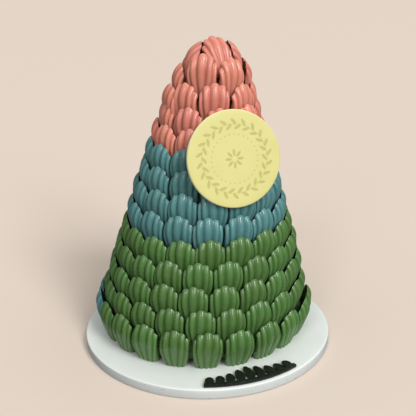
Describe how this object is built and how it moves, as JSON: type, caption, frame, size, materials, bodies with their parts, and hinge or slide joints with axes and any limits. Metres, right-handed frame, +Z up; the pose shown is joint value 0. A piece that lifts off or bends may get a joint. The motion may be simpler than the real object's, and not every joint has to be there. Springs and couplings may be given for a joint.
{
  "type": "chocolate pyramid",
  "caption": "Round cone-shaped tower of ribbed shell chocolates in green, teal and coral tiers on a white cake board, with a pale yellow chocolate disc on its front.",
  "frame": {"origin": "under the middle of the cake board, on the surface it stands on", "axes": "+Z up the tower, -Y towards the front with the medallion and the trim, +X to the right seen from the front"},
  "size_m": [0.305, 0.305, 0.3703],
  "materials": {
    "green_chocolate": "glossy moulded coloured chocolate",
    "teal_chocolate": "glossy moulded coloured chocolate",
    "coral_chocolate": "glossy moulded coloured chocolate",
    "yellow_chocolate": "satin pale yellow chocolate",
    "board_film": "satin white film over board",
    "black_trim": "glossy black"
  },
  "bodies": {
    "root": {"board": "board_film", "lower_tier": "green_chocolate", "middle_tier": "teal_chocolate", "upper_tier": "coral_chocolate", "medallion": "yellow_chocolate", "trim": "black_trim"}
  },
  "joints": []
}
